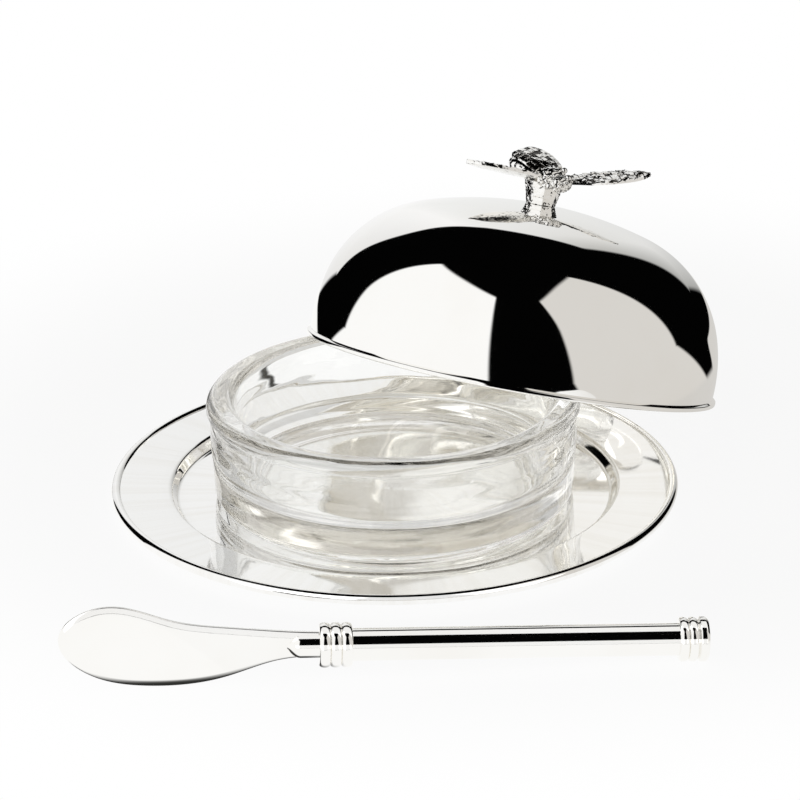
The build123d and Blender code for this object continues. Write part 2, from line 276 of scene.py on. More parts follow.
@dataclass(frozen=True)
class SpunSilver:
    """Plate silver turned on a lathe: fine rings round the axis and soft streaks across them."""

    name: str
    tint: Colour = (0.955, 0.951, 0.942)
    rings_per_metre: float = 2600.0

    def make(self) -> bpy.types.Material:
        """Builds the material."""
        material, t = new_material(self.name)
        x, y, z = t.parts(t.object_place())
        radius = (x * x + y * y) ** 0.5
        round_it = t.add("ShaderNodeMath", {"operation": "ARCTAN2"}, {0: y, 1: x})
        ring_place = t.add("ShaderNodeCombineXYZ", None, {0: radius, 1: 0.02 * round_it, 2: z})
        rings = t.noise(ring_place, self.rings_per_metre, 1.0)
        streak_place = t.add("ShaderNodeCombineXYZ", None, {0: 0.12 * radius, 1: 0.35 * round_it, 2: z})
        streaks = t.noise(streak_place, 60.0, 3.0, 0.6)
        cloud = t.noise(t.object_place(), 30.0, 2.0)
        dull = tuple(c * f for c, f in zip(self.tint, (0.95, 0.94, 0.92)))
        tint = t.blend(streaks.step(0.35, 0.8), self.tint, dull)
        rough = 0.035 + 0.06 * streaks * cloud
        t.shade({"Base Color": tint, "Metallic": 1.0, "Roughness": rough,
                 "Normal": t.bump(rings, 0.35, 0.000004)})
        return material


@dataclass(frozen=True)
class CastSilver:
    """Cast silver of the knob: bright high spots, dark patina in its hollows and a pitted skin."""

    name: str
    bright: Colour = (0.97, 0.962, 0.945)
    patina: Colour = (0.03, 0.027, 0.024)
    pit_scale: float = 950.0
    dark_share: float = 0.5
    depth: float = 0.00016

    def make(self) -> bpy.types.Material:
        """Builds the material."""
        material, t = new_material(self.name)
        place = t.object_place()
        cells = t.add("ShaderNodeTexVoronoi", {"feature": "DISTANCE_TO_EDGE"},
                      {"Vector": place, "Scale": self.pit_scale})
        grain = t.noise(place, 1300.0, 1.0, 0.5)
        blotch = t.noise(place, 520.0, 2.0, 0.5)
        dark = (1.0 - cells.step(0.02, 0.13)) * blotch.step(0.62 - self.dark_share * 0.4, 0.66)
        tint = t.blend(dark, self.bright, self.patina)
        height = cells.step(0.0, 0.2) * 0.6 + grain * 0.55
        t.shade({"Base Color": tint, "Metallic": 1.0, "Roughness": 0.06 + 0.06 * grain,
                 "Normal": t.bump(height, 0.8, self.depth)})
        return material


@dataclass(frozen=True)
class PressedGlass:
    """Thick clear glass with the slow waves that a press leaves in it."""

    name: str
    tint: Colour = (0.985, 0.988, 0.982)
    index: float = 1.5

    def make(self) -> bpy.types.Material:
        """Builds the material."""
        material, t = new_material(self.name)
        place = t.object_place()
        x, y, z = t.parts(place)
        flat = t.add("ShaderNodeCombineXYZ", None, {0: x, 1: y, 2: 3.0 * z})
        waves = t.noise(flat, 48.0, 1.0, 0.4)
        ripples = t.noise(flat, 190.0, 1.0)
        height = waves + 0.05 * ripples
        t.shade({"Base Color": (*self.tint, 1.0), "Metallic": 0.0, "Roughness": 0.006 * ripples,
                 "IOR": self.index, "Transmission Weight": 1.0,
                 "Normal": t.bump(height, 1.0, 0.00028)})
        return material


@dataclass(frozen=True)
class ZincSteel:
    """Bright zinc on the hidden screw and washer."""

    name: str
    tint: Colour = (0.62, 0.63, 0.64)

    def make(self) -> bpy.types.Material:
        """Builds the material."""
        material, t = new_material(self.name)
        spangle = t.noise(t.object_place(), 900.0, 3.0)
        tint = t.blend(spangle, self.tint, tuple(c * 0.8 for c in self.tint))
        t.shade({"Base Color": tint, "Metallic": 1.0, "Roughness": 0.28 + 0.15 * spangle,
                 "Normal": t.bump(spangle, 0.4, 0.00005)})
        return material


@dataclass(frozen=True)
class HandleCement:
    """Grey cement with fine sand in it."""

    name: str
    tint: Colour = (0.46, 0.43, 0.38)

    def make(self) -> bpy.types.Material:
        """Builds the material."""
        material, t = new_material(self.name)
        sand = t.noise(t.object_place(), 2500.0, 4.0, 0.7)
        tint = t.blend(sand.step(0.4, 0.7), self.tint, tuple(c * 0.6 for c in self.tint))
        t.shade({"Base Color": tint, "Roughness": 0.85 + 0.1 * sand, "Normal": t.bump(sand, 0.8, 0.0001)})
        return material


class Body(Enum):
    """The bodies that pieces ride on."""

    PLATE = "plate"
    BOWL = "bowl"
    LID = "lid"
    KNIFE = "knife"


class Slot(Enum):
    """The record's material slots."""

    SILVER = "silver"
    CAST_SILVER = "cast_silver"
    GLASS = "glass"
    STEEL = "steel"
    FILLER = "filler"


class Ends(Enum):
    """How the section of a turned piece ends."""

    POLES = "on the axis"
    LOOP = "on itself"


def mesh_of(points: np.ndarray, faces: Sequence[Sequence[int]], name: str) -> bpy.types.Mesh:
    """A mesh with its faces outwards.

    Args:
        points: Rows of three coordinates, in millimetres.
        faces: Point numbers of each face of a closed shell.
        name: The mesh's name.

    Returns:
        The mesh, in millimetres.
    """
    points = np.asarray(points, float)
    fans = np.array([(face[0], b, c) for face in faces for b, c in zip(face[1:], face[2:])])
    a, b, c = (points[fans[:, k]] for k in range(3))
    if float(np.sum(a * np.cross(b, c))) < 0:
        faces = [tuple(reversed(face)) for face in faces]
    mesh = bpy.data.meshes.new(name)
    mesh.from_pydata([tuple(p) for p in points], [], [tuple(f) for f in faces])
    mesh.validate()
    mesh.update()
    return mesh


def smooth(mesh: bpy.types.Mesh, degrees: float = 35.0) -> bpy.types.Mesh:
    """Smooth shading, with edges sharper than the angle kept sharp."""
    mesh.shade_smooth()
    mesh.set_sharp_from_angle(angle=math.radians(degrees))
    return mesh


def shell(stations: int, around: int, place: Callable[[float, float], Sequence[float]],
          name: str) -> bpy.types.Mesh:
    """A closed shell over a rule from pole to pole.

    Args:
        stations: Rings between the two poles, plus one.
        around: Points on each ring.
        place: Point at a share of the length and a share of the way round.
        name: The mesh's name.

    Returns:
        The mesh, in millimetres.
    """
    points = [place(0.0, 0.0)]
    for i in range(1, stations):
        points.extend(place(i / stations, j / around) for j in range(around))
    points.append(place(1.0, 0.0))
    faces = []
    last = len(points) - 1
    for j in range(around):
        k = (j + 1) % around
        faces.append((0, 1 + k, 1 + j))
        for i in range(stations - 2):
            a = 1 + i * around
            faces.append((a + j, a + k, a + around + k, a + around + j))
        a = 1 + (stations - 2) * around
        faces.append((a + j, a + k, last))
    return mesh_of(np.array(points), faces, name)


def turned(section: Sequence[Point2], around: int, ends: Ends, name: str,
           warp: Callable[[float, float, float], Point2] | None = None) -> bpy.types.Mesh:
    """A piece turned on a lathe.

    Args:
        section: Points (radius, height) of the half section.
        around: Points round the axis.
        ends: Whether the section starts and ends on the axis or closes on itself.
        name: The mesh's name.
        warp: Moves a point (radius, height, angle) by a little.

    Returns:
        The mesh, in millimetres.
    """
    rings = list(section)
    if ends is Ends.POLES:
        def place(u: float, v: float) -> tuple[float, float, float]:
            """Point of the section turned round the axis."""
            radius, height = rings[round(u * (len(rings) - 1))]
            angle = v * math.tau
            if warp and radius > 0:
                dr, dz = warp(radius, height, angle)
                radius, height = radius + dr, height + dz
            return radius * math.cos(angle), radius * math.sin(angle), height

        return shell(len(rings) - 1, around, place, name)
    points = []
    for radius, height in rings:
        for j in range(around):
            angle = j / around * math.tau
            dr, dz = warp(radius, height, angle) if warp else (0.0, 0.0)
            points.append(((radius + dr) * math.cos(angle), (radius + dr) * math.sin(angle), height + dz))
    faces = []
    for i in range(len(rings)):
        a, b = i * around, (i + 1) % len(rings) * around
        for j in range(around):
            k = (j + 1) % around
            faces.append((a + j, a + k, b + k, b + j))
    return mesh_of(np.array(points), faces, name)


def arc(centre: Point2, radius: float, start: float, end: float, steps: int) -> list[Point2]:
    """Points on an arc, with angles in degrees from the first axis."""
    angles = [math.radians(start + (end - start) * k / steps) for k in range(steps + 1)]
    return [(centre[0] + radius * math.cos(a), centre[1] + radius * math.sin(a)) for a in angles]


def rounded(corners: Sequence[tuple[float, float, float]], steps: int = 10) -> list[Point2]:
    """A section through corners with a round at each.

    Args:
        corners: Radius, height and round of each corner.
        steps: Points on each round.

    Returns:
        The section's points.
    """
    line: list[Point2] = []
    for k, (x, y, size) in enumerate(corners):
        here = Vector((x, y))
        if size <= 0 or k in (0, len(corners) - 1):
            line.append((x, y))
            continue
        back = (Vector(corners[k - 1][:2]) - here).normalized()
        on = (Vector(corners[k + 1][:2]) - here).normalized()
        angle = back.angle(on)
        reach = size / math.tan(angle / 2)
        centre = here + (back + on).normalized() * (size / math.sin(angle / 2))
        first, last = here + back * reach - centre, here + on * reach - centre
        swing = math.copysign(first.angle(last), first.x * last.y - first.y * last.x)
        for s in range(steps + 1):
            mixed = Matrix.Rotation(swing * s / steps, 2) @ first
            line.append((centre.x + mixed.x, centre.y + mixed.y))
    return line


def spread(section: Sequence[Point2], step: float) -> list[Point2]:
    """The same section with points no further apart than the step."""
    line = [section[0]]
    for a, b in zip(section, section[1:]):
        count = max(1, math.ceil(math.dist(a, b) / step))
        line.extend((a[0] + (b[0] - a[0]) * k / count, a[1] + (b[1] - a[1]) * k / count)
                    for k in range(1, count + 1))
    return line


def turn(axis: str, degrees: float) -> Matrix:
    """Turn about one axis."""
    return Matrix.Rotation(math.radians(degrees), 4, axis)


def move(x: float, y: float, z: float) -> Matrix:
    """Move by millimetres."""
    return Matrix.Translation((x, y, z))


def piece(name: str, mesh: bpy.types.Mesh, place: Matrix, material: bpy.types.Material, body: Body,
          slot: Slot, nodes: Sequence[str] = ()) -> bpy.types.Object:
    """Puts a finished mesh in the scene as a piece of the set.

    Args:
        name: The piece's name.
        mesh: Its mesh, in millimetres in its own frame.
        place: Its place in the row frame, in millimetres.
        material: Its material.
        body: The body that it rides on.
        slot: The record's slot of its finish; not used.
        nodes: CAD nodes that it stands for.

    Returns:
        The object.
    """
    mesh.transform(Matrix.Scale(MM, 4) @ place)
    if not mesh.materials:
        mesh.materials.append(material)
    mesh.update()
    made = bpy.data.objects.new(name, mesh)
    bpy.context.scene.collection.objects.link(made)
    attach(made, body.value)
    if nodes:
        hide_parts(*nodes)
    log.info("%s: %d faces on %s", name, len(mesh.polygons), body.value)
    return made


class NodeRecipe:
    """A Geometry Nodes tree with named inputs, run once on a mesh."""

    def __init__(self, name: str) -> None:
        """Starts a tree with its geometry sockets and group nodes."""
        self.tree = bpy.data.node_groups.new(name, "GeometryNodeTree")
        self.tree.interface.new_socket("Geometry", in_out="INPUT", socket_type="NodeSocketGeometry")
        self.tree.interface.new_socket("Geometry", in_out="OUTPUT", socket_type="NodeSocketGeometry")
        self.inputs: dict[str, str] = {}
        self.source = self.tree.nodes.new("NodeGroupInput")

    def take(self, name: str, kind: str) -> None:
        """Adds a named input."""
        socket = self.tree.interface.new_socket(name, in_out="INPUT", socket_type=kind)
        self.inputs[name] = socket.identifier

    def node(self, kind: str, settings: dict[str, object],
             inputs: dict[int | str, object]) -> bpy.types.Node:
        """Adds a node.

        Args:
            kind: The node's type.
            settings: Its properties.
            inputs: Values, or output sockets to link, by name or number.

        Returns:
            The node.
        """
        node = self.tree.nodes.new(kind)
        for name, value in settings.items():
            setattr(node, name, value)
        for name, value in inputs.items():
            if isinstance(value, bpy.types.NodeSocket):
                self.tree.links.new(value, node.inputs[name])
            else:
                node.inputs[name].default_value = value
        return node

    def end(self, geometry: bpy.types.NodeSocket, hollow: bpy.types.NodeSocket | None = None) -> None:
        """Ends the tree in Realize Instances and Set Material.

        Args:
            geometry: What the tree has made.
            hollow: Picks the faces that wear the groove material.
        """
        real = self.node("GeometryNodeRealizeInstances", {}, {0: geometry})
        dressed = self.node("GeometryNodeSetMaterial", {},
                            {"Geometry": real.outputs[0], "Material": self.source.outputs["Material"]})
        if hollow:
            dressed = self.node("GeometryNodeSetMaterial", {},
                                {"Geometry": dressed.outputs[0], "Selection": hollow,
                                 "Material": self.source.outputs["Groove material"]})
        out = self.tree.nodes.new("NodeGroupOutput")
        self.tree.links.new(dressed.outputs[0], out.inputs[0])

    def run(self, mesh: bpy.types.Mesh, values: dict[str, object]) -> bpy.types.Mesh:
        """Runs the tree on a mesh.

        Args:
            mesh: The mesh that the tree starts from.
            values: Value of each named input.

        Returns:
            The tree's result as a plain mesh.
        """
        carrier = bpy.data.objects.new("recipe_carrier", mesh)
        bpy.context.scene.collection.objects.link(carrier)
        modifier = carrier.modifiers.new("recipe", "NODES")
        modifier.node_group = self.tree
        for name, value in values.items():
            modifier[self.inputs[name]] = value
        bpy.context.view_layer.update()
        graph = bpy.context.evaluated_depsgraph_get()
        made = bpy.data.meshes.new_from_object(carrier.evaluated_get(graph))
        carrier.modifiers.remove(modifier)
        bpy.data.objects.remove(carrier)
        return made


class RaisedCells(NodeRecipe):
    """Raises each marked face of a slab into a small cell with grooves round it."""

    def __init__(self) -> None:
        """Builds the tree."""
        super().__init__("raised_cells")
        for name, kind in (("Cell height", "NodeSocketFloat"), ("Height spread", "NodeSocketFloat"),
                           ("Cell size", "NodeSocketFloat"), ("Dark share", "NodeSocketFloat"),
                           ("Seed", "NodeSocketInt"), ("Material", "NodeSocketMaterial"),
                           ("Groove material", "NodeSocketMaterial")):
            self.take(name, kind)
        top = self.node("GeometryNodeInputNamedAttribute", {"data_type": "BOOLEAN"}, {"Name": "top"})
        seed = self.source.outputs["Seed"]
        chance = self.node("FunctionNodeRandomValue", {"data_type": "FLOAT"}, {"Seed": seed})
        spare = self.node("ShaderNodeMath", {"operation": "MULTIPLY"},
                          {0: chance.outputs[1], 1: self.source.outputs["Height spread"]})
        height = self.node("ShaderNodeMath", {"operation": "ADD"},
                           {0: spare.outputs[0], 1: self.source.outputs["Cell height"]})
        raised = self.node("GeometryNodeExtrudeMesh", {"mode": "FACES"},
                           {"Mesh": self.source.outputs[0], "Selection": top.outputs[0],
                            "Offset Scale": height.outputs[0], "Individual": True})
        shrunk = self.node("GeometryNodeScaleElements", {"domain": "FACE"},
                           {"Geometry": raised.outputs["Mesh"], "Selection": raised.outputs["Top"],
                            "Scale": self.source.outputs["Cell size"]})
        pick = self.node("FunctionNodeRandomValue", {"data_type": "FLOAT"}, {"Seed": seed})
        dark = self.node("FunctionNodeCompare", {"data_type": "FLOAT", "operation": "LESS_THAN"},
                         {0: pick.outputs[1], 1: self.source.outputs["Dark share"]})
        cell = self.node("FunctionNodeBooleanMath", {"operation": "OR"},
                         {0: raised.outputs["Top"], 1: raised.outputs["Side"]})
        hollow = self.node("FunctionNodeBooleanMath", {"operation": "AND"},
                           {0: cell.outputs[0], 1: dark.outputs[0]})
        self.end(shrunk.outputs[0], hollow.outputs[0])


class RingRow(NodeRecipe):
    """Sets copies of one ring in a row along X."""

    def __init__(self) -> None:
        """Builds the tree."""
        super().__init__("ring_row")
        for name, kind in (("Count", "NodeSocketInt"), ("Pitch", "NodeSocketFloat"),
                           ("Material", "NodeSocketMaterial")):
            self.take(name, kind)
        offset = self.node("ShaderNodeCombineXYZ", {}, {0: self.source.outputs["Pitch"]})
        row = self.node("GeometryNodeMeshLine", {"mode": "OFFSET"},
                        {"Count": self.source.outputs["Count"], "Offset": offset.outputs[0]})
        copies = self.node("GeometryNodeInstanceOnPoints", {},
                           {"Points": row.outputs[0], "Instance": self.source.outputs[0]})
        self.end(copies.outputs[0])


def slab(rows: int, columns: int, place: Callable[[float, float, float], Sequence[float]],
         name: str) -> bpy.types.Mesh:
    """A closed slab whose top faces are marked for raised cells.

    Args:
        rows: Cells along it.
        columns: Cells across it.
        place: Point at a share of the length, a share of the width, and -1 below or 1 above.
        name: The mesh's name.

    Returns:
        The mesh, in millimetres, with the face attribute "top".
    """
    points = []
    for side in (1.0, -1.0):
        for i in range(rows + 1):
            points.extend(place(i / rows, j / columns, side) for j in range(columns + 1))
    wide, layer = columns + 1, (rows + 1) * (columns + 1)
    tops = [(i * wide + j, (i + 1) * wide + j, (i + 1) * wide + j + 1, i * wide + j + 1)
            for i in range(rows) for j in range(columns)]
    faces = tops + [tuple(reversed([p + layer for p in face])) for face in tops]
    edge = ([j for j in range(columns)] + [i * wide + columns for i in range(rows)]
            + [rows * wide + j for j in range(columns, 0, -1)] + [i * wide for i in range(rows, 0, -1)])
    for a, b in zip(edge, edge[1:] + edge[:1]):
        faces.append((a, b, b + layer, a + layer))
    mesh = mesh_of(np.array(points), faces, name)
    marks = mesh.attributes.new("top", "BOOLEAN", "FACE")
    for k in range(len(tops)):
        marks.data[k].value = True
    return mesh


@dataclass
class Plate:
    """The spun plate with its well and rolled edge."""

    radius: float = 67.5
    sheet: float = 1.2
    well_radius: float = 51.7
    well_depth: float = 2.5
    wall_run: float = 1.5
    rim_rise: float = 0.5
    bead: float = 1.2
    corner: float = 1.0

    def section(self) -> list[Point2]:
        """Half section from the middle of the foot round the edge to the middle of the well."""
        s = self.sheet
        wall = self.well_radius + self.wall_run
        edge = self.sheet + self.well_depth + self.rim_rise
        centre = (self.radius - self.bead, edge - s / 2)
        inner = centre[0] - math.sqrt(self.bead ** 2 - (s / 2) ** 2)
        outer = self.corner + 0.4
        below = rounded([(0, 0, 0), (self.well_radius + 0.4 * s, 0, outer),
                         (wall + 0.5 * s, self.well_depth, self.corner), (inner, edge - s, 0)])
        above = rounded([(inner, edge, 0), (wall, edge - self.rim_rise, outer),
                         (self.well_radius, s, self.corner), (0, s, 0)])
        return spread(below + arc(centre, self.bead, 208, 512, 40)[1:-1] + above, 2.0)

    def build(self, finish: bpy.types.Material) -> bpy.types.Object:
        """Makes the plate."""
        mesh = smooth(turned(self.section(), 360, Ends.POLES, "plate_sheet"))
        return piece("plate_sheet", mesh, Matrix.Identity(4), finish, Body.PLATE, Slot.SILVER, ["plate"])


@dataclass
class GlassBowl:
    """The thick pressed glass bowl."""

    base_z: float = 1.2
    height: float = 25.3
    foot_radius: float = 41.0
    low_radius: float = 42.7
    high_radius: float = 43.5
    lip_radius: float = 44.3
    lip_height: float = 3.4
    mouth_radius: float = 37.7
    floor: float = 6.0
    draft: float = 1.6
    inside_corner: float = 5.0
    wave: float = 0.05

    def section(self) -> list[Point2]:
        """Half section from the middle of the foot to the middle of the floor inside."""
        lip = self.height - self.lip_height
        return spread(rounded([
            (0, 0, 0), (self.foot_radius, 0, 1.0), (self.low_radius, 1.8, 2.0),
            (self.high_radius, lip * 0.7, 30.0), (self.high_radius, lip, 0.4),
            (self.lip_radius, lip + 0.6, 0.4), (self.lip_radius, self.height, 2.6),
            (self.mouth_radius, self.height, 2.2),
            (self.mouth_radius - self.draft, self.floor, self.inside_corner), (0, self.floor, 0)], 14), 0.7)

    def ripple(self, radius: float, height: float, angle: float) -> Point2:
        """Slow waves that the press leaves in the walls.

        Args:
            radius: Distance of the point from the axis.
            height: Its height over the foot.
            angle: Its way round.

        Returns:
            Move of the radius and of the height, never outwards past the solid.
        """
        spot = Vector((math.cos(angle) * 1.3, math.sin(angle) * 1.3, height * 0.45 + radius * 0.2))
        amount = noise.noise(spot) - 0.5
        share = min(1.0, height / 3.0)
        return self.wave * amount * share * (1 if radius > 40.5 else -1), 0.0

    def build(self, finish: bpy.types.Material) -> None:
        """Makes the bowl."""
        mesh = smooth(turned(self.section(), 300, Ends.POLES, "bowl_glass", self.ripple), 60)
        piece("bowl_glass", mesh, move(0, 0, self.base_z), finish, Body.BOWL, Slot.GLASS, ["glass_bowl"])


@dataclass
class DomeLid:
    """The dome lid and its bee knob, in the lid's own frame: +Z along its axis."""

    lip_radius: float = 51.2
    neck_radius: float = 50.3
    lip_height: float = 1.5
    height: float = 41.0
    wall: float = 1.0
    crown_radius: float = 98.0
    crown_angle: float = 16.5
    shoulder_radius: float = 31.0
    neck_lean: float = 4.5
    hole_radius: float = 1.8
    lean: float = 18.643
    azimuth: float = 53.3
    reach: float = 48.5
    centre_z: float = 16.617
    post_foot: float = 3.6
    post_top: float = 5.0
    post_height: float = 5.6
    post_sides: int = 8
    thorax: tuple[float, float, float] = (3.0, -2.2, 48.9)
    body_shift: tuple[float, float, float] = (-3.2, -2.4, 0.0)
    wing_drop: float = 1.7
    heading: float = -48.0
    pitch: float = 15.0
    roll: float = 20.0
    back_start: float = -9.4
    back_length: float = 11.6
    back_half: float = 5.0
    back_margin: float = 0.8
    back_height: float = 2.15
    back_depth: float = 1.5
    facet_depth: float = 0.2
    # Ring of near-black metal at the post's foot: a painted shadow in the gap under the post.
    shadow_ring_height: float = 0.12
    shadow_ring_share: float = 0.93
    wing_length: float = 24.0
    wing_chord: float = 8.6
    wing_thickness: float = 1.7
    wing_sweep: float = 14.0
    wing_rise: float = 8.0
    wing_root: float = 1.5
    tip_start: float = 0.72
    vein_depth: float = 0.55
    bank: float = 5.0

    def place(self) -> Matrix:
        """The lid's frame in the row frame."""
        out = math.radians(self.azimuth)
        turned_by = turn("Z", self.azimuth) @ turn("Y", self.lean) @ turn("Z", -self.azimuth)
        return move(self.reach * math.cos(out), self.reach * math.sin(out), self.centre_z) @ turned_by

    def side(self, inset: float) -> list[Point2]:
        """Section of one skin of the dome, from the crown down.

        Args:
            inset: How far the skin lies inside the outer one.

        Returns:
            Its points.
        """
        a1 = math.radians(self.crown_angle)
        crown_z = self.height - self.crown_radius
        inward = self.crown_radius - self.shoulder_radius
        shoulder = (inward * math.sin(a1), crown_z + inward * math.cos(a1))
        low, high = math.radians(60), math.radians(89)
        for _ in range(60):
            a2 = (low + high) / 2
            foot = (shoulder[0] + self.shoulder_radius * math.sin(a2),
                    shoulder[1] + self.shoulder_radius * math.cos(a2))
            dx, dz = self.neck_radius - foot[0], self.lip_height - foot[1]
            wall_r = -(dx * dx + dz * dz) / (2 * (dx * math.sin(a2) + dz * math.cos(a2)))
            a3 = a2 + 2 * math.asin(min(1.0, math.hypot(dx, dz) / (2 * wall_r)))
            if a3 > math.radians(self.neck_lean + 90):
                low = a2
            else:
                high = a2
        wall_c = (foot[0] - wall_r * math.sin(a2), foot[1] - wall_r * math.cos(a2))
        start = math.asin(self.hole_radius / (self.crown_radius - inset))
        line: list[Point2] = []
        for centre, radius, first, last, steps in (
                ((0.0, crown_z), self.crown_radius - inset, start, a1, 24),
                (shoulder, self.shoulder_radius - inset, a1, a2, 40), (wall_c, wall_r - inset, a2, a3, 30)):
            line.extend((centre[0] + radius * math.sin(first + (last - first) * k / steps),
                         centre[1] + radius * math.cos(first + (last - first) * k / steps))
                        for k in range(0 if not line else 1, steps + 1))
        return line

    def dome_section(self) -> list[Point2]:
        """Closed section of the wall with its turned-out lip."""
        outer, inner = self.side(0.0), self.side(self.wall)
        edge = rounded([(*outer[-1], 0), (self.lip_radius, self.lip_height * 0.72, 0.35),
                        (self.lip_radius, 0.0, 0.45), (self.neck_radius - self.wall, 0.0, 0.2),
                        (*inner[-1], 0)], 6)
        return outer + edge[1:-1] + inner[::-1]

    def post(self) -> bpy.types.Mesh:
        """The hammered eight-sided post."""
        base = self.height - 0.3
        top = self.height + self.post_height

        def place(u: float, v: float) -> tuple[float, float, float]:
            """Point of the post's skin."""
            if u in (0.0, 1.0):
                return 0.0, 0.0, base if u == 0.0 else top
            rise = min(1.0, max(0.0, (u - 0.08) / 0.84))
            shape = min(1.0, u / 0.08, (1.0 - u) / 0.08) * (0.86 if rise < 0.05 else 1.0)
            angle = v * math.tau
            part = math.tau / self.post_sides
            facet = math.cos(part / 2) / math.cos((angle % part) - part / 2)
            radius = self.post_foot + (self.post_top - self.post_foot) * rise
            spot = Vector((math.cos(angle) * 3.2, math.sin(angle) * 3.2, rise * 6.0))
            dent = 0.26 * abs(noise.noise(spot * 0.9)) + 0.08 * abs(noise.noise(spot * 2.3))
            r = (radius * facet - dent) * shape
            return r * math.cos(angle), r * math.sin(angle), base + (top - base) * rise

        return smooth(shell(56, 96, place, "knob_post"), 28)

    def bee_frame(self) -> Matrix:
        """The bee's own frame, +X to its head and +Z out of its back, in the lid's frame."""
        return (move(*self.thorax) @ turn("Z", self.heading) @ turn("Y", self.pitch)
                @ turn("X", self.roll) @ move(*self.body_shift))

    def bee_back(self, u: float, v: float, side: float) -> tuple[float, float, float]:
        """Point of the back's slab of cells.

        Args:
            u: Share of the way from the tail to the thorax.
            v: Share of the way from right to left.
            side: 1 on top and -1 below.

        Returns:
            The point in the bee's frame.
        """
        across = 2 * v - 1
        half = self.back_half * math.sqrt(1 - 0.35 * (2 * u - 1) ** 2)
        facet = self.facet_depth * noise.noise(Vector((u * 9.0, v * 8.0, 0.5)))
        crown = self.back_height - 0.45 * across ** 2 - 0.5 * (2 * u - 0.9) ** 2
        y = self.back_margin + across * (half - self.back_margin)
        return self.back_start + self.back_length * u, y, crown + (facet if side > 0 else -self.back_depth)

    def blob(self, centre: Sequence[float], size: Sequence[float], square: float, rough: float,
             name: str, seed: float, grain: float = 0.9) -> bpy.types.Mesh:
        """A rounded body with a hammered skin.

        Args:
            centre: Its middle in the bee's frame.
            size: Its half sizes.
            square: 1 for an ellipsoid, and less for squarer sides.
            rough: Depth of its hollows.
            name: The mesh's name.
            seed: Shifts the pattern of its hollows.
            grain: Hollows in each millimetre.

        Returns:
            The mesh in the bee's frame.
        """
        def bend(value: float) -> float:
            """Squarer sine or cosine."""
            return math.copysign(abs(value) ** square, value)

        def place(u: float, v: float) -> tuple[float, float, float]:
            """Point of the skin."""
            polar, angle = u * math.pi, v * math.tau
            x, y, z = (bend(-math.cos(polar)), bend(math.sin(polar)) * bend(math.cos(angle)),
                       bend(math.sin(polar)) * bend(math.sin(angle)))
            spot = Vector((x * size[0], y * size[1], z * size[2])) * grain + Vector((seed, 0, 0))
            pit = 1 - rough * abs(noise.noise(spot)) / min(size)
            return tuple(c + s * p * pit for c, s, p in zip(centre, size, (x, y, z)))

        return smooth(shell(40, 56, place, name), 60)

    def wing(self, side: int) -> bpy.types.Mesh:
        """One wing as a slab with marked cells.

        Args:
            side: 1 for the right wing and -1 for the left.

        Returns:
            The slab in the wing's own frame, +X to its tip.
        """
        def place(u: float, v: float, top: float) -> tuple[float, float, float]:
            """Point of the slab."""
            across = 2 * v - 1
            x = self.wing_length * u
            broad = math.sin(math.pi * min(1.0, 0.16 + 0.62 * u)) * 0.5 * self.wing_chord
            tip = math.sqrt(max(0.02, 1 - max(0.0, (u - self.tip_start) / (1 - self.tip_start)) ** 2.2))
            half = (self.wing_root + (broad - self.wing_root) * min(1.0, u * 3.2)) * tip
            y = across * half
            spot = Vector((x * 0.5, y * 0.5, 3.0 * side + top))
            arch = 0.34 * self.wing_thickness * (1 - 0.5 * across ** 2) * (1 - 0.4 * u)
            veins = self.vein_depth * noise.noise(spot * 2.0) * (top > 0)
            return x - 0.4 * across ** 2 * u, y, top * arch + veins

        return slab(22, 7, place, "wing_slab")

    def wing_place(self, side: int) -> Matrix:
        """A wing's frame in the lid's frame."""
        heading = self.wing_sweep if side > 0 else 180 + self.wing_sweep
        rise = self.wing_rise + self.bank * side
        x, y, z = self.thorax
        return move(x, y, z - self.wing_drop) @ turn("Z", heading) @ turn("Y", -rise) @ turn("X", 10)

    def build(self, dome: bpy.types.Material, post: bpy.types.Material, cast: bpy.types.Material,
              hollow: bpy.types.Material, cells: RaisedCells) -> None:
        """Makes the dome, the post and the bee.

        Args:
            dome: Finish of the dome.
            post: Finish of the post.
            cast: Finish of the bee.
            hollow: Finish of the grooves between its cells, and of the painted shadow ring at the post's
                foot.
            cells: Recipe of the raised cells.
        """
        lid = self.place()
        mesh = smooth(turned(self.dome_section(), 360, Ends.LOOP, "dome_shell"), 40)
        piece("dome_shell", mesh, lid, dome, Body.LID, Slot.SILVER, ["lid_dome"])
        # Painted shadow: a near-black disc whose rim shows past the narrowed foot of the post.
        top, out = self.height + self.shadow_ring_height, self.post_foot * self.shadow_ring_share
        foot = top - 0.4
        shadow_ring_section = [(0.0, foot), (out, foot), (out, top), (0.0, top)]
        piece("knob_shadow_ring", smooth(turned(spread(shadow_ring_section, 1.0), 64, Ends.POLES, "knob_shadow_ring")), lid, hollow,
              Body.LID, Slot.CAST_SILVER)
        piece("knob_post", self.post(), lid, post, Body.LID, Slot.CAST_SILVER, ["finial_post"])
        bee = lid @ self.bee_frame()
        body = self.blob((-3.9, 0, -0.2), (6.0, 5.0, 2.1), 0.7, 0.25, "bee_abdomen", 2.0)
        piece("bee_abdomen", body, bee, cast, Body.LID, Slot.CAST_SILVER, ["bee_body"])
        grid = cells.run(slab(7, 6, self.bee_back, "bee_back"),
                         {"Cell height": 0.3, "Height spread": 0.2, "Cell size": 0.8, "Dark share": 0.28,
                          "Seed": 4, "Material": cast, "Groove material": hollow})
        piece("bee_back", grid, bee, cast, Body.LID, Slot.CAST_SILVER)
        thorax = self.blob((3.0, 0, 0.0), (3.3, 3.9, 2.7), 0.9, 1.1, "bee_thorax", 8.0, 1.1)
        piece("bee_thorax", thorax, bee, cast, Body.LID, Slot.CAST_SILVER)
        head = self.blob((6.8, 0, 0.0), (2.4, 2.8, 2.1), 0.85, 0.8, "bee_head", 5.0, 1.1)
        piece("bee_head", head, bee, cast, Body.LID, Slot.CAST_SILVER)
